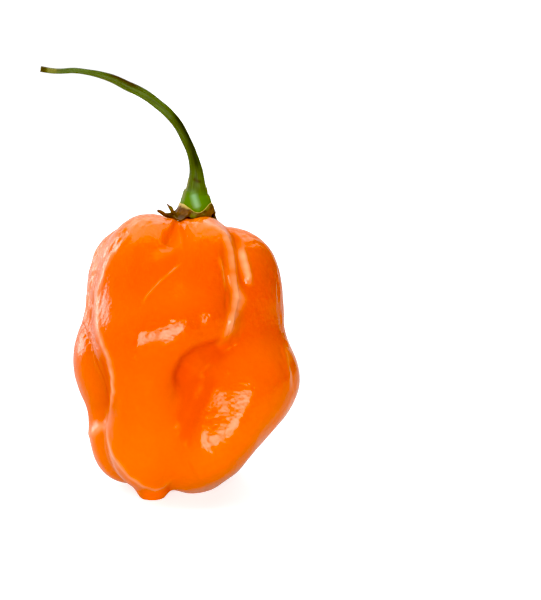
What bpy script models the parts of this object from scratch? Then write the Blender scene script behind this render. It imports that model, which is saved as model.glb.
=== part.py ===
# Habanero-type chilli pepper standing upright on its blossom end: a folded orange fruit, the brown
# withered calyx on its crown, and a green stem that rises from a flared cup and bends over to the left.
# Metres, +Z up. The resting plane is Z = 0, and the origin lies under the middle of the overall box.

import math

import bmesh
import bpy
import numpy as np
from mathutils import Vector
from mathutils.bvhtree import BVHTree

MM = 0.001

# Where the fruit's own axis stands, measured from the middle of the overall box.
AXIS_X = 2.35 * MM
AXIS_Y = -0.53 * MM

# Everything below is in millimetres, measured from the fruit's axis on the resting plane.
CLEARANCE = 0.3            # gap kept between pieces that touch
FRUIT_MIDDLE = (0.0, 0.0, 25.0)
FRUIT_REACH = 45.0         # farther from the middle than any point of the fruit
FRUIT_CUTS = 28            # cuts along each edge of the cube that is blown up into the fruit
SKIN_STEPS = 70            # steps taken inward to the skin, each a share of the distance left
SKIN_STRIDE = 0.75
LIMB_BLEND = 2.2           # softness where the swellings of one limb meet
FOLD_BLEND = 0.8           # softness where two limbs press together in a fold

# The filling low between the front leg and the right foot, shared by both limbs.
WEB = ((0.0, -7.0, 11.5), (5.5, 6.2, 8.0), 0)

# The filling of the pocket under the chest, shared by the limbs around it.
POCKET = ((0.6, -5.4, 21.4), (4.4, 5.4, 5.2), 0)

# The limbs of the fruit. Each is a soft union of ellipsoids: centre, half axes, and lean about Y
# in degrees.
LIMBS = {
    "core": {
        "body": ((0.0, 1.5, 24.0), (12.0, 12.0, 19.5), 0),
        "crown": ((1.7, 1.4, 41.4), (5.5, 5.5, 6.3), 0),
        "base": ((1.0, 0.0, 9.0), (9.0, 9.5, 7.0), 0),
    },
    "front": {
        "shoulder": ((-6.4, -2.6, 37.4), (8.8, 10.2, 12.5), 0),
        "chest": ((-4.1, -6.3, 30.4), (12.2, 11.6, 9.0), -24),
        "knee": ((-6.8, -9.0, 21.0), (5.6, 8.4, 7.5), 0),
        "heel": ((-7.2, -8.6, 10.3), (6.4, 8.0, 8.2), 0),
        "web": WEB,
        "pocket": POCKET,
    },
    "middle": {
        "shoulder": ((3.6, -3.9, 38.5), (6.3, 8.4, 11.0), 0),
        "corner": ((3.9, -6.2, 32.2), (5.3, 8.2, 6.2), 0),
        "pocket": POCKET,
    },
    "left": {
        "shoulder": ((-8.4, 4.6, 33.2), (9.3, 9.6, 13.8), 0),
        "waist": ((-11.4, 2.2, 22.0), (8.8, 8.8, 9.0), 0),
        "foot": ((-9.8, -0.5, 8.3), (7.3, 7.6, 8.0), 0),
    },
    "right": {
        "shoulder": ((8.2, -0.6, 33.4), (8.8, 8.8, 13.6), 0),
        "bulge": ((10.6, -2.8, 20.0), (9.4, 10.2, 8.6), 0),
        "cheek": ((5.8, -5.2, 20.2), (6.0, 7.4, 5.8), 0),
        "foot": ((6.6, -6.4, 11.6), (6.2, 10.4, 10.2), 38),
        "sole": ((1.6, -1.9, 5.1), (5.0, 5.4, 5.1), 0),
        "web": WEB,
        "pocket": POCKET,
    },
    "back_left": {
        "shoulder": ((-6.5, 9.0, 33.0), (8.0, 8.6, 12.6), 0),
        "waist": ((-9.0, 9.6, 20.0), (7.2, 7.2, 8.0), 0),
        "foot": ((-4.6, 8.6, 8.4), (7.0, 6.8, 8.8), 0),
    },
    "back": {
        "shoulder": ((2.5, 9.6, 34.0), (6.4, 8.6, 12.6), 0),
        "belly": ((1.5, 12.0, 21.5), (6.2, 7.0, 9.0), 0),
        "seat": ((4.6, 9.0, 8.0), (5.6, 6.4, 8.2), 0),
    },
    "back_right": {
        "shoulder": ((9.0, 7.4, 31.5), (7.6, 8.4, 12.4), 0),
        "bulge": ((10.4, 8.4, 18.5), (7.4, 8.0, 8.6), 0),
    },
    "tip": {
        "nub": ((-6.0, -8.6, 2.0), (2.5, 2.5, 3.0), 0),
    },
}

# The calyx: a thin withered collar draped over the crown, with pointed teeth.
CALYX_AXIS = (1.8, 1.5)
CALYX_RADIUS = 3.4
CALYX_SEAT_RADIUS = 3.0    # flat part under the cup of the stem
CALYX_SEAT_EDGE = 0.7      # width over which the flat part runs out into the collar
CALYX_SEAT_Z = 49.95
CALYX_THICKNESS = 0.8
CALYX_RIM = 0.18           # share of the radius over which the rim is rounded
CALYX_SEGMENTS = 60
CALYX_RINGS = 16
# Each tooth: heading in degrees from +X, length past the collar, half width in degrees, rise of
# its point.
CALYX_TEETH = (
    (174.0, 3.8, 14.0, 0.4),
    (200.0, 1.8, 20.0, 1.8),
    (234.0, 0.8, 18.0, 0.0),
    (345.0, 0.4, 22.0, 1.6),
    (26.0, 4.0, 14.0, 0.2),
    (68.0, 1.0, 22.0, 0.6),
    (122.0, 1.8, 26.0, 0.6),
)

# The stem's middle line from the cup upward: x, y, z and the thickness there.
STEM_STATIONS = (
    (1.8, 1.5, 50.25, 4.8),
    (1.8, 1.5, 50.7, 5.4),
    (1.8, 1.5, 51.3, 5.5),
    (1.8, 1.5, 52.0, 5.2),
    (1.8, 1.5, 52.8, 4.6),
    (1.9, 1.5, 53.5, 4.0),
    (1.9, 1.5, 54.5, 3.3),
    (1.9, 1.5, 56.9, 2.4),
    (1.3, 1.4, 59.7, 1.8),
    (0.3, 1.2, 62.2, 1.7),
    (-1.2, 1.0, 65.1, 1.7),
    (-2.8, 0.7, 67.5, 1.75),
    (-4.4, 0.5, 69.1, 1.75),
    (-6.2, 0.3, 70.6, 1.75),
    (-8.2, 0.0, 71.6, 1.75),
    (-10.0, -0.3, 72.5, 1.7),
    (-12.3, -0.6, 73.6, 1.5),
    (-14.6, -0.8, 74.2, 1.25),
    (-16.9, -1.1, 74.7, 1.0),
    (-19.2, -1.4, 75.0, 0.95),
    (-21.5, -1.6, 74.9, 0.9),
    (-23.1, -1.8, 75.0, 0.95),
    (-24.9, -1.9, 75.3, 1.0),
)
STEM_POINTS = 44
STEM_CROWDING = 1.5        # how much closer together the points lie in the cup than at the tip
SPAN_POINTS = 12           # fine points between two stations


def turned(lean):
    angle = math.radians(lean)
    across, along = math.cos(angle), math.sin(angle)
    return np.array([[across, 0, along], [0, 1, 0], [-along, 0, across]])


def ellipsoid_distance(points, lobe):
    centre, half_axes, lean = lobe
    local = (points - centre) @ turned(lean) / half_axes
    near = np.linalg.norm(local, axis=1)
    slope = np.linalg.norm(local / half_axes, axis=1) + 1e-9
    return near * (near - 1.0) / slope


def soft_union(distances, blend):
    nearest = np.min(distances, axis=0)
    return nearest - blend * np.log(sum(np.exp((nearest - distance) / blend) for distance in distances))


def fruit_distance(points):
    limbs = []
    for limb in LIMBS.values():
        distances = [ellipsoid_distance(points, lobe) for lobe in limb.values()]
        limbs.append(soft_union(distances, LIMB_BLEND))
    return soft_union(limbs, FOLD_BLEND)


def fruit_surface(directions):
    """The outermost skin point along each direction from the fruit's middle."""
    reach = np.full(len(directions), FRUIT_REACH)
    for _ in range(SKIN_STEPS):
        points = np.array(FRUIT_MIDDLE) + directions * reach[:, None]
        reach = reach - SKIN_STRIDE * fruit_distance(points)
    return np.array(FRUIT_MIDDLE) + directions * reach[:, None]


def material(name, colour, roughness):
    made = bpy.data.materials.new(name)
    made.use_nodes = True
    shader = made.node_tree.nodes["Principled BSDF"]
    shader.inputs["Base Color"].default_value = (*colour, 1.0)
    shader.inputs["Roughness"].default_value = roughness
    shader.inputs["Metallic"].default_value = 0.0
    return made


def read_points(mesh):
    flat = np.empty(len(mesh.vertices) * 3, dtype=np.float32)
    mesh.vertices.foreach_get("co", flat)
    return flat.reshape(-1, 3).astype(float)


def write_points(mesh, points):
    mesh.vertices.foreach_set("co", (points * MM).astype(np.float32).ravel())
    mesh.update()


def add_object(name, data, skin, collection):
    thing = bpy.data.objects.new(name, data)
    thing.location = (AXIS_X, AXIS_Y, 0.0)
    data.materials.append(skin)
    collection.objects.link(thing)
    return thing


def make_fruit(collection, skin):
    shape = bmesh.new()
    bmesh.ops.create_cube(shape, size=2.0)
    bmesh.ops.subdivide_edges(shape, edges=shape.edges[:], cuts=FRUIT_CUTS, use_grid_fill=True)
    mesh = bpy.data.meshes.new("fruit")
    shape.to_mesh(mesh)
    shape.free()
    # The tangent evens out the spacing before the cube is blown up into a ball of directions.
    directions = np.tan(read_points(mesh) * (math.pi / 4))
    directions /= np.linalg.norm(directions, axis=1)[:, None]
    points = fruit_surface(directions)
    # The low points of the fruit are pressed flat where they stand.
    points[:, 2] = np.maximum(points[:, 2], 0.0)
    write_points(mesh, points)
    mesh.shade_smooth()
    return add_object("fruit", mesh, skin, collection)


def stem_middle_line():
    """Points on a smooth curve through the stations, with the thickness at each."""
    stations = np.array(STEM_STATIONS)
    ends = np.vstack([2 * stations[0] - stations[1], stations, 2 * stations[-1] - stations[-2]])
    fine = []
    for first, second, third, fourth in zip(ends[:-3], ends[1:-2], ends[2:-1], ends[3:]):
        for t in np.linspace(0.0, 1.0, SPAN_POINTS, endpoint=False):
            fine.append(0.5 * (2 * second + (third - first) * t
                               + (2 * first - 5 * second + 4 * third - fourth) * t ** 2
                               + (3 * second - first - 3 * third + fourth) * t ** 3))
    fine.append(stations[-1])
    fine = np.array(fine)
    steps = np.linalg.norm(np.diff(fine[:, :3], axis=0), axis=1)
    along = np.concatenate([[0.0], np.cumsum(steps)])
    # The thickness changes fastest in the cup, so the points crowd together there.
    wanted = along[-1] * np.linspace(0.0, 1.0, STEM_POINTS) ** STEM_CROWDING
    return np.column_stack([np.interp(wanted, along, fine[:, column]) for column in range(4)])


def make_stem(collection, skin):
    line = stem_middle_line()
    curve = bpy.data.curves.new("stem", "CURVE")
    curve.dimensions = "3D"
    curve.bevel_depth = 0.5 * MM
    curve.bevel_resolution = 4
    curve.use_fill_caps = True
    spline = curve.splines.new("POLY")
    spline.points.add(len(line) - 1)
    for point, (x, y, z, thickness) in zip(spline.points, line):
        point.co = (x * MM, y * MM, z * MM, 1.0)
        point.radius = thickness
    spline.use_smooth = True
    return add_object("stem", curve, skin, collection)


def smooth_step(value):
    value = np.clip(value, 0.0, 1.0)
    return value * value * (3.0 - 2.0 * value)


def make_calyx(collection, skin, fruit):
    shape = bmesh.new()
    bmesh.ops.create_uvsphere(shape, u_segments=CALYX_SEGMENTS, v_segments=CALYX_RINGS, radius=1.0)
    mesh = bpy.data.meshes.new("calyx")
    shape.to_mesh(mesh)
    shape.free()
    ball = read_points(mesh)
    heading = np.degrees(np.arctan2(ball[:, 1], ball[:, 0]))
    fraction = np.arcsin(np.clip(np.hypot(ball[:, 0], ball[:, 1]), 0.0, 1.0)) / (math.pi / 2)
    outline = np.full(len(ball), CALYX_RADIUS)
    rise = np.zeros(len(ball))
    for direction, length, half_width, tip_rise in CALYX_TEETH:
        away = np.abs((heading - direction + 180.0) % 360.0 - 180.0) / half_width
        tooth = smooth_step(1.0 - away)
        outline += length * tooth
        rise += tip_rise * tooth
    radius = outline * fraction
    x = CALYX_AXIS[0] + radius * np.cos(np.radians(heading))
    y = CALYX_AXIS[1] + radius * np.sin(np.radians(heading))
    # The collar lies just clear of the crown, found by looking straight down on it.
    crown = BVHTree.FromPolygons([v.co.copy() for v in fruit.data.vertices],
                                 [tuple(p.vertices) for p in fruit.data.polygons])
    overhead = 2 * FRUIT_MIDDLE[2] + CALYX_RADIUS
    ground = np.array([crown.ray_cast(Vector((a, b, overhead)) * MM, Vector((0, 0, -1)))[0].z / MM
                       for a, b in zip(x, y)])
    outer = smooth_step((radius - CALYX_SEAT_RADIUS) / (outline - CALYX_SEAT_RADIUS))
    bottom = ground + CLEARANCE + rise * outer
    seat = 1.0 - smooth_step((radius - CALYX_SEAT_RADIUS) / CALYX_SEAT_EDGE)
    top = bottom + CALYX_THICKNESS
    top += (CALYX_SEAT_Z - top) * seat
    # The rim is rounded: both faces close in on the middle over the last part of the radius.
    closing = np.sqrt(1.0 - np.clip((fraction - 1.0 + CALYX_RIM) / CALYX_RIM, 0.0, 1.0) ** 2)
    middle = 0.5 * (top + bottom)
    half = 0.5 * (top - bottom) * closing
    side = np.where(ball[:, 2] >= 0.0, 1.0, -1.0)
    write_points(mesh, np.column_stack([x, y, middle + side * half]))
    mesh.shade_smooth()
    return add_object("calyx", mesh, skin, collection)


def build():
    for thing in list(bpy.data.objects):
        bpy.data.objects.remove(thing, do_unlink=True)
    collection = bpy.data.collections.new("chilli_pepper")
    bpy.context.scene.collection.children.link(collection)
    fruit = make_fruit(collection, material("fruit_skin", (0.95, 0.14, 0.004), 0.22))
    make_calyx(collection, material("calyx_brown", (0.10, 0.045, 0.015), 0.7), fruit)
    make_stem(collection, material("stem_green", (0.09, 0.16, 0.03), 0.45))


build()
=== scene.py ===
# Habanero-type chilli pepper standing on its blossom end: folded orange fruit, withered calyx
# collar and a green stem bent over to the left. All lengths in the dictionaries are millimetres,
# measured from the fruit's own axis on the resting plane, unless a note says otherwise.
import math

import bmesh
import bpy
import numpy as np
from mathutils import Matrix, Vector


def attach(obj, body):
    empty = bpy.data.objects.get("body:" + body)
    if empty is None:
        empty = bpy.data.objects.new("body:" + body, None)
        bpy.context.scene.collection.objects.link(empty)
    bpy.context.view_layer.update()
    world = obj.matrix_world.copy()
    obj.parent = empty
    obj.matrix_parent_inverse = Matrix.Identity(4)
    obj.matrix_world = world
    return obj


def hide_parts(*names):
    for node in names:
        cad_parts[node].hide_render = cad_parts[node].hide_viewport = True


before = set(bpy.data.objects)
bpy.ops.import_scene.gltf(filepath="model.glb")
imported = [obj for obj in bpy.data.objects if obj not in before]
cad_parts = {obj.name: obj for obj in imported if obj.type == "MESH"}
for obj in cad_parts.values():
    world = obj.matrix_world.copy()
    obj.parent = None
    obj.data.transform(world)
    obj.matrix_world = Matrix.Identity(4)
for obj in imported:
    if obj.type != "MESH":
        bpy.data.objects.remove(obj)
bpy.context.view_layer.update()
print("frame loaded")

mm = 0.001
podAxis = np.array([2.35, -0.53, 0.0])  # the fruit's axis, from the middle of the overall box

# How the photograph looks at the fruit. The marks below are placed by it too.
view = {
    "tilt": 12.0,              # degrees below the horizontal that the camera looks
    "distance": 450.0,
    "target": (15.02, 0.0, 33.9),      # what lies in the middle of the picture
    "frameHeight": 106.68,     # what the long side of the picture spans at the target
    "pixels": (541, 600),
    "nearest": 10.0,           # how close to the camera something may come and still show
}
pixelSize = view["frameHeight"] / view["pixels"][1]
tilt = math.radians(view["tilt"])
lookDirection = np.array([0.0, math.cos(tilt), -math.sin(tilt)])
upDirection = np.array([0.0, math.sin(tilt), math.cos(tilt)])
target = np.array(view["target"])


def pictureOf(points):
    # where points on the fruit appear in the picture, in pixels from its top left corner
    away = points - target
    depth = 1.0 + away @ lookDirection / view["distance"]
    across = view["pixels"][0] / 2 + away[:, 0] / depth / pixelSize
    down = view["pixels"][1] / 2 - away @ upDirection / depth / pixelSize
    return np.column_stack([across, down])


class Wire:
    # a shader socket that can be used in Python expressions
    def __init__(self, graph, socket):
        self.graph = graph
        self.socket = socket

    def math(self, operation, first, second=None):
        values = {0: first} if second is None else {0: first, 1: second}
        return self.graph.add("ShaderNodeMath", {"operation": operation}, values)

    def __add__(self, other):
        return self.math("ADD", self, other)

    def __radd__(self, other):
        return self.math("ADD", other, self)

    def __sub__(self, other):
        return self.math("SUBTRACT", self, other)

    def __rsub__(self, other):
        return self.math("SUBTRACT", other, self)

    def __mul__(self, other):
        return self.math("MULTIPLY", self, other)

    def __rmul__(self, other):
        return self.math("MULTIPLY", other, self)

    def clamped(self):
        return self.graph.add("ShaderNodeClamp", {}, {"Value": self})


class Graph:
    # builds the node tree of one material
    def __init__(self, name):
        self.material = bpy.data.materials.new(name)
        self.material.use_nodes = True
        self.tree = self.material.node_tree
        self.shader = self.tree.nodes["Principled BSDF"]
        self.place = self.add("ShaderNodeTexCoord", {}, {}, "Object")

    def add(self, kind, settings, values, output=0):
        node = self.tree.nodes.new(kind)
        for key, value in settings.items():
            setattr(node, key, value)
        self.fill(node, values)
        return Wire(self, node.outputs[output])

    def fill(self, node, values):
        for key, value in values.items():
            if isinstance(value, Wire):
                self.tree.links.new(value.socket, node.inputs[key])
            else:
                node.inputs[key].default_value = value

    def noise(self, size, detail=2.0):
        values = {"Vector": self.place, "Scale": 1.0 / (size * mm), "Detail": detail}
        return self.add("ShaderNodeTexNoise", {}, values, "Fac")

    def cells(self, size):
        values = {"Vector": self.place, "Scale": 1.0 / (size * mm)}
        return self.add("ShaderNodeTexVoronoi", {"feature": "SMOOTH_F1"}, values, "Distance")

    def attribute(self, name):
        return self.add("ShaderNodeAttribute", {"attribute_name": name}, {}, "Fac")

    def between(self, value, low, high):
        # 0 below low, 1 above high, smooth in between
        values = {"Value": value, "From Min": low, "From Max": high}
        return self.add("ShaderNodeMapRange", {"interpolation_type": "SMOOTHSTEP"}, values)

    def mix(self, share, first, second):
        first = first if isinstance(first, Wire) else (*first, 1.0)
        second = second if isinstance(second, Wire) else (*second, 1.0)
        return self.add("ShaderNodeMix", {"data_type": "RGBA"}, {0: share, 6: first, 7: second}, 2)

    def bump(self, height, distance):
        values = {"Height": height, "Distance": distance * mm, "Strength": 1.0}
        return self.add("ShaderNodeBump", {}, values)

    def finish(self, values):
        self.fill(self.shader, values)
        return self.material

    def veil(self, share, values):
        # lays a second surface over the finished one, by the given share
        second = self.tree.nodes.new("ShaderNodeBsdfPrincipled")
        self.fill(second, values)
        blend = self.tree.nodes.new("ShaderNodeMixShader")
        self.tree.links.new(share.socket, blend.inputs[0])
        self.tree.links.new(self.shader.outputs[0], blend.inputs[1])
        self.tree.links.new(second.outputs[0], blend.inputs[2])
        self.tree.links.new(blend.outputs[0], self.tree.nodes["Material Output"].inputs["Surface"])


def readPoints(mesh):
    flat = np.empty(len(mesh.vertices) * 3, dtype=np.float32)
    mesh.vertices.foreach_get("co", flat)
    return flat.reshape(-1, 3).astype(float)


def writePoints(mesh, points):
    mesh.vertices.foreach_set("co", ((points + podAxis) * mm).astype(np.float32).ravel())
    mesh.update()


def storeNumber(mesh, name, numbers):
    layer = mesh.attributes.new(name, "FLOAT", "POINT")
    layer.data.foreach_set("value", numbers.astype(np.float32))


def addPiece(name, mesh, material, node):
    piece = bpy.data.objects.new(name, mesh)
    mesh.materials.clear()
    mesh.materials.append(material)
    bpy.context.scene.collection.objects.link(piece)
    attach(piece, "root")
    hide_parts(node)


def smoothStep(value):
    value = np.clip(value, 0.0, 1.0)
    return value * value * (3.0 - 2.0 * value)


unevenness = {
    "waves": 14,               # how many waves are laid over each other
    "stretch": (0.7, 1.4),     # how much shorter or longer than the given size they may be
}


def waves(points, size, seed):
    # smooth, repeatable unevenness, mostly between -1 and 1, with bumps of the given size
    dice = np.random.default_rng(seed)
    count = unevenness["waves"]
    directions = dice.normal(size=(count, 3))
    directions /= np.linalg.norm(directions, axis=1)[:, None]
    stretch = dice.uniform(*unevenness["stretch"], count)
    shifts = dice.uniform(0.0, 2.0 * math.pi, count)
    phases = points @ (directions * stretch[:, None]).T * (math.pi / size) + shifts
    return np.cos(phases).sum(axis=1) / math.sqrt(count)


def distanceToPath(places, path):
    # distance from each place to a broken line, and how far along the line the nearest spot is
    path = np.array(path, dtype=float)
    lengths = np.linalg.norm(np.diff(path, axis=0), axis=1)
    starts = np.concatenate([[0.0], np.cumsum(lengths)])
    nearest = np.full(len(places), 1e9)
    along = np.zeros(len(places))
    for first, second, length, start in zip(path[:-1], path[1:], lengths, starts):
        step = (second - first) / length
        reach = np.clip((places - first) @ step, 0.0, length)
        gap = np.linalg.norm(places - first - reach[:, None] * step, axis=1)
        closer = gap < nearest
        nearest = np.where(closer, gap, nearest)
        along = np.where(closer, (start + reach) / starts[-1], along)
    return nearest, along


fruit = {
    "middle": (0.0, 0.0, 25.0),
    "reach": 45.0,             # farther from the middle than any point of the fruit
    "cuts": 127,               # cuts along each edge of the cube that is blown up into the fruit
    "crowding": 0.35,          # how far the points crowd together toward the front
    "steps": 55,               # steps taken inward to the skin
    "stride": 0.75,            # share of the distance left that each step takes
    "limbBlend": 2.2,          # softness where the swellings of one limb meet
    "foldBlend": 0.8,          # softness where two limbs press together in a fold
    "lumps": ((7.0, 0.10, 11), (3.2, 0.045, 12), (1.5, 0.012, 13)),  # size, height, seed
    "swells": (                # middle, radius, height of broad swellings, negative for a hollow
        ((16.0, 1.0, 9.8), 4.8, -1.9), ((-15.5, 4.5, 42.5), 4.0, 0.5),
        ((-17.5, 0.5, 13.5), 4.5, 0.5), ((14.5, 2.0, 41.5), 4.5, 0.6)),
    "seed": 17,
    "foldReach": (1.2, 4.0),   # how far out a fold is felt by the skin's colour, as painted shade
    "crown": (0.15, 0.95),     # upward tilt of the skin where the painted top light starts, and where it is full
    "sheenPatches": (1.0, 0.85, 0.22),   # size, middle and spread of the unevenness of the painted sheen on the ridges
    "wrinkle": 0.75,           # size of the fine wrinkles across their strip
    "wrinkleSquash": (1.0, 1.0, 0.4),  # they are longer upward than across
}

# Fillings low between the front leg and the right foot, and under the chest, shared by the limbs there.
web = ((0.0, -7.0, 11.5), (5.5, 6.2, 8.0), 0)
pocket = ((0.6, -5.4, 21.4), (4.4, 5.4, 5.2), 0)

# The fruit is a soft union of limbs, and each limb is one of lobes. A lobe is an ellipsoid: centre,
# half axes, lean about Y in degrees.
limbs = {
    "core": (((0.0, 1.5, 24.0), (12.0, 12.0, 19.5), 0),
             ((1.7, 1.4, 41.4), (5.5, 5.5, 6.3), 0),
             ((1.0, 0.0, 9.0), (9.0, 9.5, 7.0), 0)),
    "front": (((-6.4, -2.6, 37.4), (8.8, 10.2, 12.5), 0),
              ((-4.1, -6.3, 30.4), (12.2, 11.6, 9.0), -24),
              ((-6.8, -9.0, 21.0), (5.6, 8.4, 7.5), 0),
              ((-7.2, -8.6, 10.3), (6.4, 8.0, 8.2), 0),
              web, pocket),
    "middle": (((3.6, -3.9, 38.5), (6.3, 8.4, 11.0), 0),
               ((3.9, -6.2, 32.2), (5.3, 8.2, 6.2), 0),
               pocket),
    "left": (((-8.4, 4.6, 33.2), (9.3, 9.6, 13.8), 0),
             ((-11.4, 2.2, 22.0), (8.8, 8.8, 9.0), 0),
             ((-9.8, -0.5, 8.3), (7.3, 7.6, 8.0), 0)),
    "right": (((8.2, -0.6, 33.4), (8.8, 8.8, 13.6), 0),
              ((10.6, -2.8, 20.0), (9.4, 10.2, 8.6), 0),
              ((5.8, -5.2, 20.2), (6.0, 7.4, 5.8), 0),
              ((6.6, -6.4, 11.6), (6.2, 10.4, 10.2), 38),
              ((1.6, -1.9, 5.1), (5.0, 5.4, 5.1), 0),
              web, pocket),
    "backLeft": (((-6.5, 9.0, 33.0), (8.0, 8.6, 12.6), 0),
                 ((-9.0, 9.6, 20.0), (7.2, 7.2, 8.0), 0),
                 ((-4.6, 8.6, 8.4), (7.0, 6.8, 8.8), 0)),
    "back": (((2.5, 9.6, 34.0), (6.4, 8.6, 12.6), 0),
             ((1.5, 12.0, 21.5), (6.2, 7.0, 9.0), 0),
             ((4.6, 9.0, 8.0), (5.6, 6.4, 8.2), 0)),
    "backRight": (((9.0, 7.4, 31.5), (7.6, 8.4, 12.4), 0),
                  ((10.4, 8.4, 18.5), (7.4, 8.0, 8.6), 0)),
    "tip": (((-6.0, -8.6, 2.0), (2.5, 2.5, 3.0), 0),),
}

# Marks seen on the front: path in picture pixels, height (negative is a groove), half width, in mm.
frontMarks = {
    "notch": (((177, 224), (174, 230), (170, 238), (168, 247)), -0.60, 0.9),
    "notchShelf": (((150, 259), (158, 255), (168, 253), (176, 250)), 0.12, 0.7),
    "scar": (((143, 304), (146, 297), (152, 290), (160, 281), (170, 273), (182, 262)), 0.12, 0.2),
    "scarHook": (((166, 274), (174, 267), (180, 260)), -0.08, 0.22),
    "pocketFold": (((231, 344), (214, 349), (199, 354), (187, 363), (181, 376), (181, 392)),
                   -0.90, 1.2),
    "legRidge": (((188, 418), (185, 430), (179, 441), (177, 453)), 0.06, 0.35),
    "heelLine": (((112, 428), (114, 440), (118, 450), (124, 458)), 0.06, 0.22),
    "kneeLine": (((124, 376), (125, 384), (125, 394)), 0.06, 0.22),
    "lip": (((106, 425), (108, 437), (113, 453), (121, 465), (131, 476), (144, 485),
             (155, 488), (163, 485), (170, 480), (175, 479)), 0.25, 0.42),
    "edge": (((125, 240), (112, 255), (104, 272), (99, 290), (97, 308), (98, 325), (103, 342),
              (110, 358), (114, 376), (115, 392), (112, 406), (107, 424)), 0.26, 0.42),
    "edgeOuter": (((116, 236), (104, 250), (97, 266), (92, 284), (90, 300)), 0.16, 0.35),
    "stripCreaseA": (((114, 238), (103, 249), (96, 260), (91, 269)), -0.14, 0.24),
    "stripCreaseB": (((99, 272), (94, 276), (90, 279)), -0.20, 0.24),
    "stripCreaseC": (((93, 288), (90, 291), (86, 294)), -0.16, 0.22),
    "stripCreaseD": (((81, 322), (84, 330), (87, 339), (91, 350), (93, 360)), -0.22, 0.3),
    "stripCreaseE": (((92, 338), (95, 344), (98, 349)), -0.18, 0.25),
    "shoulderCreaseA": (((127, 231), (123, 238), (118, 246)), -0.12, 0.22),
    "shoulderCreaseB": (((131, 232), (128, 240), (121, 248)), 0.12, 0.24),
    "ridge": (((203, 223), (216, 228), (225, 237), (230, 250), (232, 266), (234, 282), (237, 298),
               (233, 312), (229, 328), (222, 344)), 0.42, 0.50),
    "ridgeShelf": (((224, 254), (225, 272), (227, 292), (226, 312)), -0.15, 0.35),
    "ridgeGroove": (((213, 219), (226, 226), (235, 236), (239, 252), (240, 268), (242, 284)), -0.35, 0.4),
    "footSwell": (((190, 468), (203, 462), (216, 454)), 0.40, 2.4),
    "chestEdge": (((140, 326), (137, 338), (135, 354)), 0.20, 0.9),
    "footEdge": (((204, 418), (200, 436), (196, 454)), 0.35, 1.2),
    "spotA": (((227, 368), (229, 373)), 0.10, 0.35),
    "spotB": (((170, 318), (174, 320)), 0.09, 0.3),
    "spotC": (((134, 356), (136, 360)), 0.09, 0.3),
    "saddle": (((166, 224), (180, 227), (194, 223)), 0.75, 1.2),
    "ridgeCreaseA": (((218, 257), (221, 264), (222, 270)), 0.14, 0.26),
    "ridgeCreaseB": (((226, 272), (229, 284), (231, 296), (231, 306)), -0.12, 0.24),
    "ridgeCreaseC": (((231, 312), (229, 322), (226, 332), (222, 340)), 0.14, 0.26),
    "shoulderStreak": (((240, 244), (243, 256), (247, 268), (250, 286)), 0.45, 0.6),
    "sideStreak": (((277, 262), (281, 285), (283, 310), (285, 335), (290, 360)), 0.14, 0.4),
    "cheekEdge": (((283, 345), (286, 360), (289, 375), (291, 390)), 0.12, 0.35),
    "waistFold": (((91, 438), (97, 431), (104, 426)), 0.34, 0.9),
}

# Painted shade, darker and redder skin colour where the skin lies low between the limbs: path in picture
# pixels, share, half width.
foldShadeMarks = {
    "notch": (((178, 224), (174, 232), (171, 241), (169, 249)), 0.35, 1.2),
    "pocket": (((236, 342), (214, 350), (198, 355), (187, 364), (182, 376), (183, 392),
                (190, 402)), 0.55, 1.4),
    "pocketWall": (((219, 372), (210, 386), (204, 400), (195, 414), (186, 434), (180, 448)), 0.75, 1.7),
    "pocketEdge": (((226, 352), (210, 364), (203, 378)), 0.4, 1.2),
    "leftGroove": (((97, 352), (104, 366), (109, 382), (111, 400), (108, 414)), 0.6, 1.0),
    "rightGroove": (((228, 228), (238, 241), (242, 258), (243, 275)), 0.6, 0.6),
    "lipGap": (((168, 484), (167, 492)), 0.5, 0.6),
    "valley": (((200, 372), (190, 392), (182, 410), (177, 428)), 0.5, 1.0),
    "dimple": (((184, 366), (181, 376), (184, 388)), 0.3, 2.2),
}

# Painted highlights and reflections on the sharpest ridges and edges, with a paler scar line: path in
# picture pixels, share, half width.
sheenMarks = {
    "scar": (((143, 304), (146, 297), (152, 290), (160, 281), (170, 273), (182, 262)), 0.32, 0.2),
    "edge": (((126, 238), (112, 254), (103, 272), (98, 290), (96, 308), (97, 325), (102, 342),
              (109, 358), (113, 376), (114, 392), (111, 406), (106, 424)), 0.7, 0.42),
    "edgeOuter": (((114, 238), (103, 252), (96, 268), (91, 286), (88, 304), (86, 322)), 0.55, 0.6),
    "lip": (((106, 424), (107, 437), (112, 453), (120, 465), (130, 477), (144, 486),
             (155, 489), (163, 486), (170, 480)), 0.55, 0.32),
    "ridge": (((200, 221), (214, 226), (224, 234), (230, 249), (232, 266), (234, 282), (237, 298),
               (233, 314), (229, 330), (222, 345)), 0.75, 0.7),
    "ridgeFlecks": (((219, 257), (223, 270), (226, 290)), 0.4, 0.25),
    "ridgeCorner": (((238, 288), (243, 300), (238, 312)), 0.5, 0.7),
    "shoulderStreak": (((240, 246), (243, 257), (246, 268), (249, 282)), 1.1, 0.6),
    "sideStreak": (((279, 262), (283, 285), (285, 310), (287, 335), (292, 360)), 0.5, 0.3),
    "cheekEdge": (((285, 345), (288, 360), (291, 375), (293, 390)), 0.4, 0.3),
    "waistFold": (((91, 437), (97, 430), (105, 424)), 0.7, 0.7),
    "notchShelf": (((150, 258), (162, 254), (176, 250)), 0.2, 0.8),
    "rightEdge": (((296, 392), (290, 408), (280, 428), (268, 448), (252, 466)), 0.35, 0.25),
}

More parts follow.
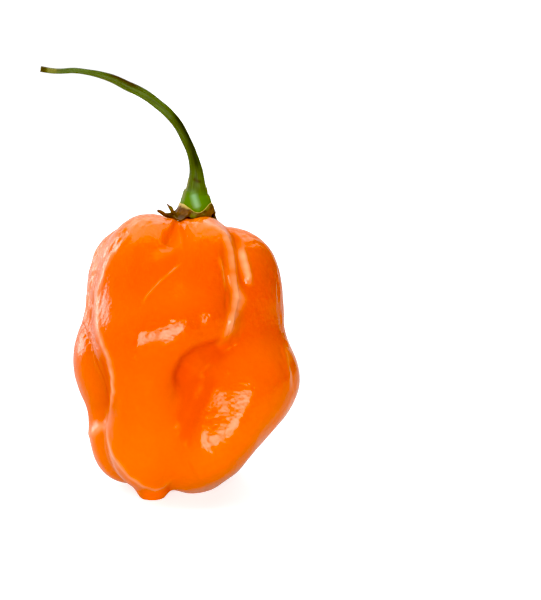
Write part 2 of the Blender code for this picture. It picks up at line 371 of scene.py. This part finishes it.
# Strips of fine wrinkles: path in picture pixels, height, half width.
crinkleMarks = {
    "leftStrip": (((118, 236), (102, 256), (93, 280), (89, 310), (87, 340), (92, 362)), 0.10, 1.6),
    "ridge": (((215, 240), (230, 262), (233, 290), (231, 318), (226, 340)), 0.07, 1.1),
    "leftTop": (((110, 242), (126, 227), (146, 217), (168, 214)), 0.05, 2.4),
    "middleTop": (((184, 226), (200, 224), (216, 228), (228, 240)), 0.045, 2.0),
    "rightTop": (((238, 232), (252, 238), (264, 252)), 0.04, 1.8),
    "rightSide": (((268, 262), (280, 300), (286, 345), (290, 385)), 0.06, 1.2),
    "footGloss": (((206, 452), (220, 434), (236, 412), (228, 399)), 0.012, 2.6),
    "chestGloss": (((137, 348), (146, 334), (168, 332), (190, 326)), 0.012, 2.0),
}


def lobeDistance(points, lobe):
    centre, halfAxes, lean = lobe
    angle = math.radians(lean)
    cosine, sine = math.cos(angle), math.sin(angle)
    turn = np.array([[cosine, 0, sine], [0, 1, 0], [-sine, 0, cosine]])
    local = (points - centre) @ turn / halfAxes
    near = np.linalg.norm(local, axis=1)
    slope = np.linalg.norm(local / halfAxes, axis=1) + 1e-9  # never divides by nothing
    return near * (near - 1.0) / slope


def softUnion(distances, blend):
    nearest = np.min(distances, axis=0)
    return nearest - blend * np.log(sum(np.exp((nearest - distance) / blend) for distance in distances))


def fruitDistance(points):
    parts = []
    for limb in limbs.values():
        parts.append(softUnion([lobeDistance(points, lobe) for lobe in limb], fruit["limbBlend"]))
    return softUnion(parts, fruit["foldBlend"])


def fruitSkin(directions):
    middle = np.array(fruit["middle"])
    reach = np.full(len(directions), fruit["reach"])
    for _ in range(fruit["steps"]):
        reach -= fruit["stride"] * fruitDistance(middle + directions * reach[:, None])
    return middle + directions * reach[:, None]


def outwardNormals(points):
    step = 0.05  # mm to either side
    slopes = []
    for axis in np.eye(3) * step:
        slopes.append(fruitDistance(points + axis) - fruitDistance(points - axis))
    normals = np.column_stack(slopes)
    return normals / np.linalg.norm(normals, axis=1)[:, None]


brush = {
    "facingFrom": -0.10,       # how far the surface may turn from the viewer before the marks end
    "facingOver": 0.25,        # over what turn they fade in
    "taper": 0.18,             # share of a path over which its ends fade
    "endShare": 0.25,          # strength left at the very ends
}


def markSum(points, normals, marks):
    # the sum of the marks' strengths, felt only where the surface faces the front
    places = pictureOf(points)
    facing = smoothStep((-(normals @ lookDirection) - brush["facingFrom"]) / brush["facingOver"])
    total = np.zeros(len(points))
    for path, size, halfWidth in marks.values():
        gap, along = distanceToPath(places, path)
        taper = smoothStep(along / brush["taper"]) * smoothStep((1.0 - along) / brush["taper"])
        strength = brush["endShare"] + (1.0 - brush["endShare"]) * taper
        total += size * np.exp(-((gap * pixelSize / halfWidth) ** 2)) * strength
    return total * facing


def makeFruit():
    shape = bmesh.new()
    bmesh.ops.create_cube(shape, size=2.0)
    bmesh.ops.subdivide_edges(shape, edges=shape.edges[:], cuts=fruit["cuts"], use_grid_fill=True)
    mesh = bpy.data.meshes.new("fruitSkin")
    shape.to_mesh(mesh)
    shape.free()
    directions = np.tan(readPoints(mesh) * (math.pi / 4))  # evens out the spacing
    directions /= np.linalg.norm(directions, axis=1)[:, None]
    directions -= fruit["crowding"] * lookDirection
    directions /= np.linalg.norm(directions, axis=1)[:, None]
    points = fruitSkin(directions)
    normals = outwardNormals(points)
    # painted shade share: how closely nearby skin hems each point in, plus the marked shaded folds
    fold = np.zeros(len(points))
    for reach in fruit["foldReach"]:
        fold += np.clip(1.0 - fruitDistance(points + normals * reach) / reach, 0.0, 1.0)
    fold = fold / len(fruit["foldReach"]) + markSum(points, normals, foldShadeMarks)
    # painted highlights and reflections on ridges and edges, broken up unevenly
    size, middle, spread = fruit["sheenPatches"]
    sheenWaves = middle + spread * waves(points, size, fruit["seed"] + 1)
    pale = markSum(points, normals, sheenMarks) * sheenWaves
    # share of painted top light, by how far the skin faces up
    crownLow, crownHigh = fruit["crown"]
    crown = smoothStep((normals[:, 2] - crownLow) / (crownHigh - crownLow))
    height = markSum(points, normals, frontMarks)
    wrinkles = waves(points * fruit["wrinkleSquash"], fruit["wrinkle"], fruit["seed"])
    height += markSum(points, normals, crinkleMarks) * wrinkles
    for place, radius, rise in fruit["swells"]:
        height += rise * np.exp(-np.sum((points - place) ** 2, axis=1) / radius ** 2)
    for size, rise, seed in fruit["lumps"]:
        height += rise * waves(points, size, seed)
    points += normals * height[:, None]
    points[:, 2] = np.maximum(points[:, 2], 0.0)  # it stands on its low points
    writePoints(mesh, points)
    for name, numbers in (("fold", fold), ("pale", pale), ("crown", crown)):
        storeNumber(mesh, name, np.clip(numbers, 0.0, 1.0))
    mesh.shade_smooth()
    return mesh


skin = {
    "colour": (0.64, 0.059, 0.0005),
    "warm": (0.82, 0.131, 0.0005),     # yellower skin colour: painted light bounced up from the floor low on the fruit, and the skin's own uneven tone
    "foldShade": (0.52, 0.036, 0.0003),     # painted shade: the darker, redder skin colour in the folds
    "pale": (0.95, 0.35, 0.18),        # painted highlight and reflection on the ridges and edges, and the paler scar
    "topLight": (0.80, 0.120, 0.002),    # painted light: the lighter, yellower skin where it faces up
    "lowFrom": (4.0, 38.0),            # the painted floor light fades out between these heights
    "floorBounceShare": 0.6,                   # how much of the warm colour is painted light from the floor, low on the fruit
    "patchShare": 0.3,                 # how much comes from broad patches
    "speckShare": 0.35,                # how much fine specks add or take away
    "patch": 9.0,                      # size of the patches
    "speck": 0.7,                      # size of the specks
    "foldShadeShare": 0.6,                  # how strongly the folds take the painted shade colour
    "veilShare": 1.2,                  # how quickly the folds lose their gloss
    "veilRoughness": 0.6,
    "gloss": (1.0, 0.86, 0.72),        # tint of the reflections on the skin
    "specular": 0.5,
    "ior": 1.45,
    "roughness": (0.12, 0.22),
    "dullPatch": 2.2,                  # size of the duller patches
    "pores": (0.60, 1.8),              # size and weight of the fine dimples in the gloss
    "grain": (0.18, 0.6),              # size and weight of the grain between them
    "ripple": (1.6, 3.5),              # size and weight of the slow ripple under them
    "reliefDepth": 0.020,              # depth that a weight of 1 stands for
    "glow": 0.22,                      # share of the light that goes through the flesh
    "glowReach": 1.6,
    "glowColours": (1.0, 0.28, 0.08),  # how far red, green and blue go
}


def fruitMaterial():
    graph = Graph("orangeSkin")
    fold = graph.attribute("fold")
    split = graph.add("ShaderNodeSeparateXYZ", {}, {"Vector": graph.place}, "Z")
    # painted light bounced up from the floor, strongest low on the fruit; the patches and specks are the
    # skin's own uneven tone
    low = 1 - graph.between(split, skin["lowFrom"][0] * mm, skin["lowFrom"][1] * mm)
    patches = graph.noise(skin["patch"], 3.0)
    specks = graph.noise(skin["speck"], 3.0) - 0.5
    warmth = low * skin["floorBounceShare"] + patches * skin["patchShare"] + specks * skin["speckShare"]
    colour = graph.mix(warmth.clamped(), skin["colour"], skin["warm"])
    # painted top light on skin that faces up
    colour = graph.mix(graph.attribute("crown"), colour, skin["topLight"])
    # painted shade in the folds, darker and redder
    colour = graph.mix((fold * skin["foldShadeShare"]).clamped(), colour, skin["foldShade"])
    # painted highlights and reflections on the ridges and edges
    colour = graph.mix(graph.attribute("pale"), colour, skin["pale"])
    poreSize, poreWeight = skin["pores"]
    grainSize, grainWeight = skin["grain"]
    rippleSize, rippleWeight = skin["ripple"]
    relief = graph.cells(poreSize) * poreWeight + graph.noise(grainSize) * grainWeight
    relief = relief + graph.noise(rippleSize) * rippleWeight
    glossy, dull = skin["roughness"]
    roughness = glossy + (dull - glossy) * graph.noise(skin["dullPatch"], 3.0)
    graph.veil((fold * skin["veilShare"]).clamped(), {
        "Base Color": colour,
        "Roughness": skin["veilRoughness"],
        "Specular IOR Level": 0.0,
    })
    return graph.finish({
        "Base Color": colour,
        "Roughness": roughness,
        "Subsurface Weight": skin["glow"],
        "Subsurface Radius": skin["glowColours"],
        "Subsurface Scale": skin["glowReach"] * mm,
        "Specular IOR Level": skin["specular"],
        "Specular Tint": (*skin["gloss"], 1.0),
        "IOR": skin["ior"],
        "Normal": graph.bump(relief, skin["reliefDepth"]),
    })


addPiece("fruitSkin", makeFruit(), fruitMaterial(), "fruit")
print("fruit made")


stem = {
    "stations": (  # x, y, z and thickness, from inside the collar to the dry end
        (1.8, 1.5, 49.3, 4.2), (1.8, 1.5, 50.0, 5.0), (1.8, 1.5, 50.7, 5.4), (1.8, 1.5, 51.3, 5.5),
        (1.8, 1.5, 52.0, 5.2), (1.8, 1.5, 52.8, 4.6), (1.9, 1.5, 53.5, 4.0), (1.9, 1.5, 54.5, 3.3),
        (1.9, 1.5, 56.9, 2.4), (1.3, 1.4, 59.7, 1.8), (0.3, 1.2, 62.2, 1.7), (-1.2, 1.0, 65.1, 1.7),
        (-3.1, 0.7, 67.4, 1.75), (-4.7, 0.5, 68.8, 1.75), (-6.3, 0.3, 70.1, 1.75),
        (-8.2, 0.0, 71.3, 1.75), (-10.0, -0.3, 72.2, 1.7), (-12.3, -0.6, 73.4, 1.5),
        (-14.6, -0.8, 74.2, 1.25), (-16.9, -1.1, 74.7, 1.0), (-19.2, -1.4, 75.0, 0.95),
        (-21.5, -1.6, 74.9, 0.9), (-23.1, -1.8, 75.0, 0.95), (-24.9, -1.9, 75.3, 1.0)),
    "fineness": 24,            # spots worked out between two stations
    "points": 420,             # points along the finished line
    "crowding": 1.3,           # how much closer together the points lie in the cup
    "sides": 72,               # points around it
    "ribs": 5,                 # soft lengthwise ribs
    "ribHeight": 0.035,
    "ribTwist": 0.35,          # turns that the ribs make from end to end
    "ribStart": (0.10, 0.20),  # share of the length over which the ribs rise out of the cup
    "knobble": 0.02,           # uneven swelling along the stem
    "knobbles": 900.0,         # how many swellings there are to a metre
    "weld": 0.002,             # points closer than this are joined
}

# Streaks on the front of the stem, its own colours along with a painted shade down its right side and a
# painted highlight on the cup: path in picture pixels, share, half width in mm.
stemMarks = {
    "dusk": {
        "upper": (((108, 74), (118, 77), (128, 82), (139, 88)), 1.0, 0.42),
        "neck": (((193, 178), (197, 181), (202, 182)), 0.8, 0.35)},
    "shadedSide": {
        "right": (((170, 109), (178, 119), (184, 129), (189, 139), (193, 151), (196, 163),
                   (198, 175)), 1.0, 0.8)},
    "pale": {
        "tip": (((44, 68), (50, 70), (58, 70)), 0.9, 0.6),
        "leftRidge": (((190, 176), (187, 186), (184, 195), (182, 203)), 0.8, 0.22),
        "rightRidge": (((205, 184), (208, 192), (209, 200)), 0.6, 0.2),
        "underside": (((99, 77), (112, 84), (126, 92), (140, 101), (154, 111)), 0.5, 0.22)},
    # painted highlight on the cup
    "shine": {
        "cup": (((193, 193), (195, 200), (198, 209)), 0.9, 0.55)},
}


def stemLine():
    # a smooth curve through the stations, with its points crowded toward the cup
    stations = np.array(stem["stations"])
    ends = np.vstack([2 * stations[0] - stations[1], stations, 2 * stations[-1] - stations[-2]])
    fine = []
    for first, second, third, fourth in zip(ends[:-3], ends[1:-2], ends[2:-1], ends[3:]):
        for t in np.linspace(0.0, 1.0, stem["fineness"], endpoint=False):
            fine.append(0.5 * (2 * second + (third - first) * t
                               + (2 * first - 5 * second + 4 * third - fourth) * t ** 2
                               + (3 * second - first - 3 * third + fourth) * t ** 3))
    fine.append(stations[-1])
    fine = np.array(fine)
    steps = np.linalg.norm(np.diff(fine[:, :3], axis=0), axis=1)
    along = np.concatenate([[0.0], np.cumsum(steps)])
    wanted = along[-1] * np.linspace(0.0, 1.0, stem["points"]) ** stem["crowding"]
    return np.column_stack([np.interp(wanted, along, fine[:, column]) for column in range(4)])


stemInputs = {  # the sizes that the stem's tree takes
    "Sides": ("NodeSocketInt", stem["sides"]),
    "Ribs": ("NodeSocketInt", stem["ribs"]),
    "Rib Height": ("NodeSocketFloat", stem["ribHeight"] * mm),
    "Knobble": ("NodeSocketFloat", stem["knobble"] * mm),
}


def stemTree(material):
    # sweeps a ribbed round section along the stem's line
    tree = bpy.data.node_groups.new("sweepStem", "GeometryNodeTree")
    tree.interface.new_socket(name="Geometry", in_out="INPUT", socket_type="NodeSocketGeometry")
    tree.interface.new_socket(name="Geometry", in_out="OUTPUT", socket_type="NodeSocketGeometry")
    for name, (kind, value) in stemInputs.items():
        made = tree.interface.new_socket(name=name, in_out="INPUT", socket_type=kind)
        made.default_value = value

    def node(kind, settings, values):
        made = tree.nodes.new(kind)
        for key, value in settings.items():
            setattr(made, key, value)
        for key, value in values.items():
            if isinstance(value, bpy.types.NodeSocket):
                tree.links.new(value, made.inputs[key])
            else:
                made.inputs[key].default_value = value
        return made.outputs

    def calc(operation, first, second=0.0):
        return node("ShaderNodeMath", {"operation": operation}, {0: first, 1: second})[0]

    def named(name):
        return node("GeometryNodeInputNamedAttribute", {"data_type": "FLOAT"}, {"Name": name})[0]

    def withShare(curve, name):
        # stores how far along the curve each of its points lies
        share = node("GeometryNodeSplineParameter", {}, {})["Factor"]
        return node("GeometryNodeStoreNamedAttribute", {"data_type": "FLOAT", "domain": "POINT"},
                    {"Geometry": curve, "Name": name, "Value": share})[0]

    given = node("NodeGroupInput", {}, {})
    line = withShare(node("GeometryNodeMeshToCurve", {}, {"Mesh": given["Geometry"]})[0], "along")
    ring = node("GeometryNodeCurvePrimitiveCircle", {"mode": "RADIUS"},
                {"Resolution": given["Sides"], "Radius": 0.5})[0]  # half of the thickness
    tube = node("GeometryNodeCurveToMesh", {}, {
        "Curve": line,
        "Profile Curve": withShare(ring, "around"),
        "Scale": named("thickness"),
        "Fill Caps": True,
    })[0]
    along = named("along")
    twist = calc("ADD", named("around"), calc("MULTIPLY", along, stem["ribTwist"]))
    wave = calc("COSINE", calc("MULTIPLY", calc("MULTIPLY", twist, given["Ribs"]), 2.0 * math.pi))
    start, full = stem["ribStart"]
    fade = node("ShaderNodeMapRange", {}, {"Value": along, "From Min": start, "From Max": full})[0]
    rib = calc("MULTIPLY", calc("MULTIPLY", wave, fade), given["Rib Height"])
    knots = node("ShaderNodeTexNoise", {}, {"Scale": stem["knobbles"], "Detail": 1.0})[0]
    knots = calc("MULTIPLY", calc("SUBTRACT", knots, 0.5), calc("MULTIPLY", given["Knobble"], 2.0))
    push = calc("ADD", rib, knots)
    outward = node("GeometryNodeInputNormal", {}, {})[0]
    offset = node("ShaderNodeVectorMath", {"operation": "SCALE"}, {0: outward, "Scale": push})[0]
    moved = node("GeometryNodeSetPosition", {}, {"Geometry": tube, "Offset": offset})[0]
    smooth = node("GeometryNodeSetShadeSmooth", {}, {"Geometry": moved})[0]
    real = node("GeometryNodeRealizeInstances", {}, {"Geometry": smooth})[0]
    done = node("GeometryNodeSetMaterial", {}, {"Geometry": real, "Material": material})[0]
    node("NodeGroupOutput", {}, {"Geometry": done})
    return tree


def bakeModifier(piece):
    # turns a live piece into a plain mesh
    bpy.context.view_layer.update()
    live = piece.evaluated_get(bpy.context.evaluated_depsgraph_get())
    mesh = bpy.data.meshes.new_from_object(live)
    bpy.data.objects.remove(piece, do_unlink=True)
    return mesh


def makeStem(material):
    line = stemLine()
    mesh = bpy.data.meshes.new("stemLine")
    points = [tuple(point) for point in (line[:, :3] + podAxis) * mm]
    edges = [(index, index + 1) for index in range(len(points) - 1)]
    mesh.from_pydata(points, edges, [])
    storeNumber(mesh, "thickness", line[:, 3] * mm)
    piece = bpy.data.objects.new("stemLine", mesh)
    bpy.context.scene.collection.objects.link(piece)
    tree = stemTree(material)
    modifier = piece.modifiers.new("sweep", "NODES")
    modifier.node_group = tree
    for socket in tree.interface.items_tree:
        if socket.name in stemInputs:
            modifier[socket.identifier] = stemInputs[socket.name][1]
    made = bakeModifier(piece)
    shape = bmesh.new()
    shape.from_mesh(made)
    bmesh.ops.remove_doubles(shape, verts=shape.verts[:], dist=stem["weld"] * mm)
    bmesh.ops.recalc_face_normals(shape, faces=shape.faces[:])
    shape.to_mesh(made)
    shape.free()
    points = readPoints(made) / mm - podAxis
    normals = np.array([vertex.normal for vertex in made.vertices])
    for name, marks in stemMarks.items():
        storeNumber(made, name, np.clip(markSum(points, normals, marks), 0.0, 1.0))
    made.shade_smooth()
    return made


stalk = {
    "green": (0.072, 0.115, 0.036),
    "olive": (0.040, 0.060, 0.030),
    "dusk": (0.032, 0.014, 0.026),
    # painted shade down the stem's right side
    "shadedSide": (0.004, 0.009, 0.008),
    "pale": (0.17, 0.155, 0.045),
    "cupGreen": (0.070, 0.165, 0.025),
    # painted highlight on the cup
    "shine": (0.20, 0.38, 0.18),
    "dryEnd": (0.035, 0.018, 0.006),
    "cup": (0.07, 0.11),       # the cup's colour ends between these shares of the length
    "dryFrom": (0.965, 0.985), # the dry end's colour starts between these
    "fibres": (40.0, 9.0),     # streaks around the stem and along it
    "fibreEdge": (0.35, 0.70), # an edge gives the noise levels between which one colour turns into the next
    "duskPatch": 4.0,          # size of the dusky patches
    "duskEdge": (0.5, 0.7),
    "duskShare": 0.5,
    "mottle": 1.8,
    "roughness": (0.45, 0.15), # where it is smoothest, and how much the mottle adds
    "specular": 0.14,
    "relief": 0.04,
    "fibreWeight": 0.8,
    "mottleWeight": 0.5,
    "glow": 0.1,
    "glowReach": 0.6,
    "glowColours": (0.4, 1.0, 0.2),
}


def stemMaterial():
    graph = Graph("greenStem")
    along = graph.attribute("along")
    around = graph.attribute("around")
    cup = 1 - graph.between(along, *stalk["cup"])
    turns, lengths = stalk["fibres"]
    streaks = graph.add("ShaderNodeCombineXYZ", {}, {"X": around * turns, "Y": along * lengths})
    fibre = graph.add("ShaderNodeTexNoise", {}, {"Vector": streaks, "Scale": 1.0, "Detail": 3.0}, "Fac")
    mottle = graph.noise(stalk["mottle"], 3.0)
    dusk = graph.between(graph.noise(stalk["duskPatch"]), *stalk["duskEdge"])
    colour = graph.mix(graph.between(fibre, *stalk["fibreEdge"]), stalk["green"], stalk["olive"])
    colour = graph.mix(dusk * stalk["duskShare"], colour, stalk["dusk"])
    colour = graph.mix(cup, colour, stalk["cupGreen"])
    # the marked streaks: the stem's own colours, a painted shade and a painted highlight
    for name in stemMarks:
        colour = graph.mix(graph.attribute(name), colour, stalk[name])
    colour = graph.mix(graph.between(along, *stalk["dryFrom"]), colour, stalk["dryEnd"])
    relief = fibre * stalk["fibreWeight"] + mottle * stalk["mottleWeight"]
    smoothest, added = stalk["roughness"]
    return graph.finish({
        "Base Color": colour,
        "Roughness": smoothest + added * mottle,
        "Specular IOR Level": stalk["specular"],
        "Subsurface Weight": stalk["glow"],
        "Subsurface Radius": stalk["glowColours"],
        "Subsurface Scale": stalk["glowReach"] * mm,
        "Normal": graph.bump(relief, stalk["relief"]),
    })


greenStem = stemMaterial()
addPiece("greenStem", makeStem(greenStem), greenStem, "stem")
print("stem made")


collar = {
    "axis": (1.8, 1.5),
    "segments": 144,
    "rings": 64,
    "innerRadius": 2.75,
    "radius": 3.3,
    "innerZ": 51.0,
    "above": 56.0,             # a height that is clear of the whole fruit
    "thickness": 0.35,
    "skinGap": 0.12,
    "shelf": 0.25,             # share of the way out that the collar stays level
    "slope": 1.4,              # distance over which a long tooth comes down from the cup to the skin
    "teeth": (  # heading from +X in degrees, extra length, half width in degrees, rise of the point
        (173.0, 3.8, 8.0, 1.0), (197.0, 2.0, 15.0, 2.2), (230.0, 1.7, 26.0, 0.0),
        (350.0, 0.1, 20.0, 1.6), (28.0, 3.6, 12.0, 0.0), (68.0, 1.0, 20.0, 1.0), (122.0, 1.8, 22.0, 1.0)),
    "toothFullness": 1.7,      # over 1, a tooth keeps its full length around its middle
    "innerWave": (             # heading, drop of the inner edge, half width
        (280.0, -1.4, 60.0), (90.0, -0.6, 60.0)),
    "hidden": 0.45,            # share of the rings that lies under the cup
    "hiddenDip": 0.5,          # how far the middle dips under the cup
    "lip": (0.15, 0.05),       # height of the rim around the cup, and its place and width
    "rimRound": 0.07,          # share of the way out over which the outer edge is rounded
    "tatter": (3.0, 0.9, 0.22),   # radius of the ring that the tatters run round, their size and depth
    "ruffle": (0.9, 0.22),     # size and height of the unevenness
    "seed": 21,
}


def headingGap(heading, direction):
    return np.abs((heading - direction + 180.0) % 360.0 - 180.0)


def crownHeight(x, y):
    # the height of the skin under each place, found by stepping down onto it
    z = np.full(len(x), collar["above"])
    for _ in range(fruit["steps"]):
        z -= fruit["stride"] * fruitDistance(np.column_stack([x, y, z]))
    return z


def makeCollar():
    shape = bmesh.new()
    bmesh.ops.create_uvsphere(shape, u_segments=collar["segments"], v_segments=collar["rings"], radius=1.0)
    mesh = bpy.data.meshes.new("calyxCollar")
    shape.to_mesh(mesh)
    shape.free()
    ball = readPoints(mesh)
    heading = np.degrees(np.arctan2(ball[:, 1], ball[:, 0]))
    share = np.arcsin(np.clip(np.hypot(ball[:, 0], ball[:, 1]), 0.0, 1.0)) / (math.pi / 2)
    outline = np.full(len(ball), collar["radius"])
    rise = np.zeros(len(ball))
    for direction, length, halfWidth, tipRise in collar["teeth"]:
        closeness = 1.0 - headingGap(heading, direction) / halfWidth
        tooth = smoothStep(collar["toothFullness"] * closeness)
        outline += length * tooth
        rise += tipRise * tooth
    angle = np.radians(heading)
    circle = np.column_stack([np.cos(angle), np.sin(angle), np.zeros(len(ball))])
    reach, size, depth = collar["tatter"]
    outline += depth * waves(circle * reach, size, collar["seed"])
    innerZ = np.full(len(ball), collar["innerZ"])
    for direction, drop, halfWidth in collar["innerWave"]:
        innerZ += drop * smoothStep(1.0 - headingGap(heading, direction) / halfWidth)
    hidden = collar["hidden"]
    spread = np.clip((share - hidden) / (1.0 - hidden), 0.0, 1.0)
    radius = np.where(share < hidden, share / hidden * collar["innerRadius"],
                      collar["innerRadius"] + (outline - collar["innerRadius"]) * spread)
    x = collar["axis"][0] + radius * circle[:, 0]
    y = collar["axis"][1] + radius * circle[:, 1]
    ground = crownHeight(x, y)
    crown = np.column_stack([x, y, ground])
    ground += markSum(crown, outwardNormals(crown), frontMarks)
    ground += collar["skinGap"] + collar["thickness"] / 2
    edge = ground + rise * smoothStep(spread)
    fall = np.maximum(smoothStep((spread - collar["shelf"]) / (1.0 - collar["shelf"])),
                      smoothStep((radius - collar["innerRadius"]) / collar["slope"]))
    z = innerZ * (1.0 - fall) + edge * fall
    z = np.maximum(z, ground)
    lipHeight, lipPlace = collar["lip"]
    z += lipHeight * np.exp(-(((spread - lipPlace) / lipPlace) ** 2)) * (share > hidden)
    dip = collar["hiddenDip"] * (1.0 - smoothStep(share / hidden))
    z = np.where(share < hidden, z - dip, z)
    size, depth = collar["ruffle"]
    z += depth * waves(np.column_stack([x, y, z]), size, collar["seed"] + 1) * spread
    z = np.maximum(z, ground)
    pastRim = np.clip((share - 1.0 + collar["rimRound"]) / collar["rimRound"], 0.0, 1.0)
    rim = np.sqrt(1.0 - pastRim ** 2)
    side = np.where(ball[:, 2] >= 0.0, 0.5, -0.5) * collar["thickness"] * rim
    writePoints(mesh, np.column_stack([x, y, z + side]))
    storeNumber(mesh, "spread", spread)
    mesh.shade_smooth()
    return mesh


withered = {
    "brown": (0.14, 0.040, 0.022),
    "maroon": (0.060, 0.012, 0.022),
    "olive": (0.12, 0.115, 0.026),
    "rimYellow": (0.50, 0.36, 0.10),
    "mottle": 0.9,
    "mottleEdge": (0.35, 0.65),
    "olivePatch": 1.6,
    "oliveEdge": (0.55, 0.72),
    "rimEdge": (0.08, 0.22),   # the yellow rim fades between these shares of the way out
    "roughness": (0.6, 0.2),   # where it is smoothest, and how much the mottle adds
    "crumple": (0.5, 0.15),    # size and depth of the fine relief
}


def collarMaterial():
    graph = Graph("witheredCalyx")
    spread = graph.attribute("spread")
    mottle = graph.noise(withered["mottle"], 4.0)
    patches = graph.between(graph.noise(withered["olivePatch"]), *withered["oliveEdge"])
    rim = 1 - graph.between(spread, *withered["rimEdge"])
    colour = graph.mix(graph.between(mottle, *withered["mottleEdge"]), withered["brown"], withered["maroon"])
    colour = graph.mix(patches, colour, withered["olive"])
    colour = graph.mix(rim, colour, withered["rimYellow"])
    smoothest, added = withered["roughness"]
    size, depth = withered["crumple"]
    return graph.finish({
        "Base Color": colour,
        "Roughness": smoothest + added * mottle,
        "Normal": graph.bump(graph.noise(size, 3.0), depth),
    })


addPiece("calyxCollar", makeCollar(), collarMaterial(), "calyx")
print("calyx made")


studio = {
    "floor": (0.70, 0.70, 0.70),       # colour and glow as the camera sees them
    "floorShade": (0.6895, 0.6895, 0.6895),   # the slightly darker patches
    "floorPatch": 60.0,
    "floorGlow": (0.70, 0.70, 0.70),
    "floorDim": (0.40, 0.40, 0.40),    # colour and glow as the fruit sees them
    "floorShine": (0.28, 0.28, 0.28),
    "floorRoughness": 0.6,
    "floorSize": 1100.0,
    "backdrop": 1.1,           # brightness of the plain pale surroundings as the camera sees them
    "darkSide": (0.75, -0.66), # the level direction in which the surroundings are darkest
    "worldDark": 0.03,         # their brightness there
    "worldLit": 1.0,           # and on the opposite side
    "turnover": (-0.15, 0.60), # where the one gives way to the other, -1 at the dark side and 1 opposite
    "blackLevel": (0.0, 0.004, 0.055),
    "lampAim": (0.0, 0.0, 22.0),   # this and the lamps' places start at the middle of the overall box
    "lamps": (                 # place, size, power in watts
        ((-150.0, -530.0, 95.0), (220.0, 180.0), 1.5),
        ((160.0, -520.0, 95.0), (300.0, 180.0), 2.1),
        ((-400.0, 270.0, 140.0), (200.0, 300.0), 0.8),
        ((0.0, 300.0, 800.0), (1300.0, 1100.0), 11.0)),
}


def aimAt(thing, place):
    thing.rotation_euler = (Vector(place) - thing.location).to_track_quat("-Z", "Y").to_euler()


def makeFloor():
    shape = bmesh.new()
    bmesh.ops.create_grid(shape, x_segments=2, y_segments=2, size=studio["floorSize"] / 2 * mm)
    mesh = bpy.data.meshes.new("studioFloor")
    shape.to_mesh(mesh)
    shape.free()
    graph = Graph("studioFloor")
    paper = graph.noise(studio["floorPatch"])
    tone = graph.mix(paper, studio["floor"], studio["floorShade"])
    seen = graph.add("ShaderNodeLightPath", {}, {}, "Is Camera Ray")
    tone = graph.mix(seen, studio["floorDim"], tone)
    mesh.materials.append(graph.finish({
        "Base Color": tone,
        "Roughness": studio["floorRoughness"],
        "Specular IOR Level": 0.0,
        "Emission Color": graph.mix(seen, studio["floorShine"], studio["floorGlow"]),
        "Emission Strength": 1.0,
    }))
    floor = bpy.data.objects.new("studioFloor", mesh)
    bpy.context.scene.collection.objects.link(floor)


def makeWorld():
    world = bpy.data.worlds.new("studioWorld")
    world.use_nodes = True
    tree = world.node_tree
    background = tree.nodes["Background"]
    direction = tree.nodes.new("ShaderNodeTexCoord")
    litness = tree.nodes.new("ShaderNodeVectorMath")
    litness.operation = "DOT_PRODUCT"
    litness.inputs[1].default_value = (-studio["darkSide"][0], -studio["darkSide"][1], 0.0)
    background.inputs["Color"].default_value = (1.0, 1.0, 1.0, 1.0)
    shade = tree.nodes.new("ShaderNodeMapRange")
    shade.interpolation_type = "SMOOTHSTEP"
    shade.inputs["From Min"].default_value = studio["turnover"][0]
    shade.inputs["From Max"].default_value = studio["turnover"][1]
    shade.inputs["To Min"].default_value = studio["worldDark"]
    shade.inputs["To Max"].default_value = studio["worldLit"]
    seen = tree.nodes.new("ShaderNodeLightPath")
    choice = tree.nodes.new("ShaderNodeMix")
    choice.inputs["B"].default_value = studio["backdrop"]
    tree.links.new(direction.outputs["Generated"], litness.inputs[0])
    tree.links.new(litness.outputs["Value"], shade.inputs["Value"])
    tree.links.new(seen.outputs["Is Camera Ray"], choice.inputs["Factor"])
    tree.links.new(shade.outputs["Result"], choice.inputs["A"])
    tree.links.new(choice.outputs["Result"], background.inputs["Strength"])
    bpy.context.scene.world = world


def makeLamps():
    for index, (place, size, power) in enumerate(studio["lamps"]):
        data = bpy.data.lights.new("lamp%d" % index, "AREA")
        data.shape = "RECTANGLE"
        data.size = size[0] * mm
        data.size_y = size[1] * mm
        data.energy = power
        lamp = bpy.data.objects.new("lamp%d" % index, data)
        bpy.context.scene.collection.objects.link(lamp)
        lamp.location = Vector(place) * mm
        aimAt(lamp, Vector(studio["lampAim"]) * mm)


def makeCamera():
    data = bpy.data.cameras.new("camera")
    data.lens = data.sensor_width * view["distance"] / view["frameHeight"]
    data.clip_start = view["nearest"] * mm
    camera = bpy.data.objects.new("camera", data)
    bpy.context.scene.collection.objects.link(camera)
    place = target + podAxis
    camera.location = Vector(place - lookDirection * view["distance"]) * mm
    aimAt(camera, Vector(place) * mm)
    bpy.context.scene.camera = camera


makeFloor()
makeWorld()
makeLamps()
makeCamera()
settings = bpy.context.scene.view_settings
settings.view_transform = "Standard"
settings.use_curve_mapping = True
settings.curve_mapping.black_level = studio["blackLevel"]
settings.curve_mapping.update()
print("studio made")
